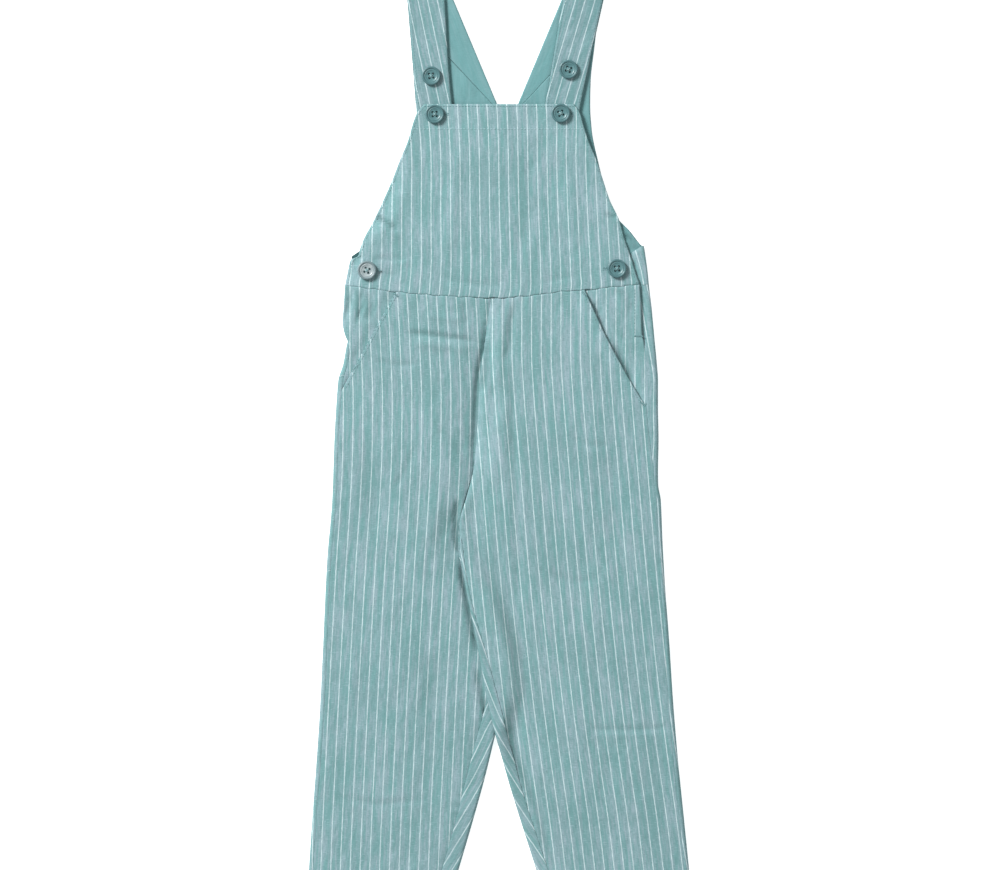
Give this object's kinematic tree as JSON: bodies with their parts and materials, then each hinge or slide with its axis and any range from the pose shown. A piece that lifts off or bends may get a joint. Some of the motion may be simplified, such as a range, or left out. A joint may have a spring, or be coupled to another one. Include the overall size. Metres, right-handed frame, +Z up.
{
  "type": "kids bib overalls",
  "caption": "Child's sleeveless bib overalls with buttoned straps, side buttons, slanted front pockets and long straight legs, laid flat with the front up.",
  "frame": {"origin": "on the table, under the middle of the garment's box", "axes": "+Y from the hems to the shoulders, +X to the right as seen from above, +Z up from the table through back and front"},
  "size_m": [0.35, 0.855, 0.01],
  "materials": {
    "striped_cloth": "matt blue-green woven cotton with thin pale stripes",
    "plain_cloth": "matt plain blue-green woven cotton",
    "button_teal": "dark blue-green, satin gloss",
    "button_pale": "pale grey-green, satin gloss"
  },
  "bodies": {
    "root": {"front_bib": "striped_cloth", "back_bodice": "striped_cloth", "back_lining": "plain_cloth", "strap_left": "striped_cloth", "strap_right": "striped_cloth", "strap_lining_left": "plain_cloth", "strap_lining_right": "plain_cloth", "front_leg_left": "striped_cloth", "front_leg_right": "striped_cloth", "back_leg_left": "striped_cloth", "back_leg_right": "striped_cloth", "hip_left": "striped_cloth", "hip_right": "striped_cloth", "button_strap_left": "button_teal", "button_strap_right": "button_teal", "button_bib_left": "button_teal", "button_bib_right": "button_teal", "button_side_left": "button_pale", "button_side_right": "button_teal"}
  },
  "joints": []
}
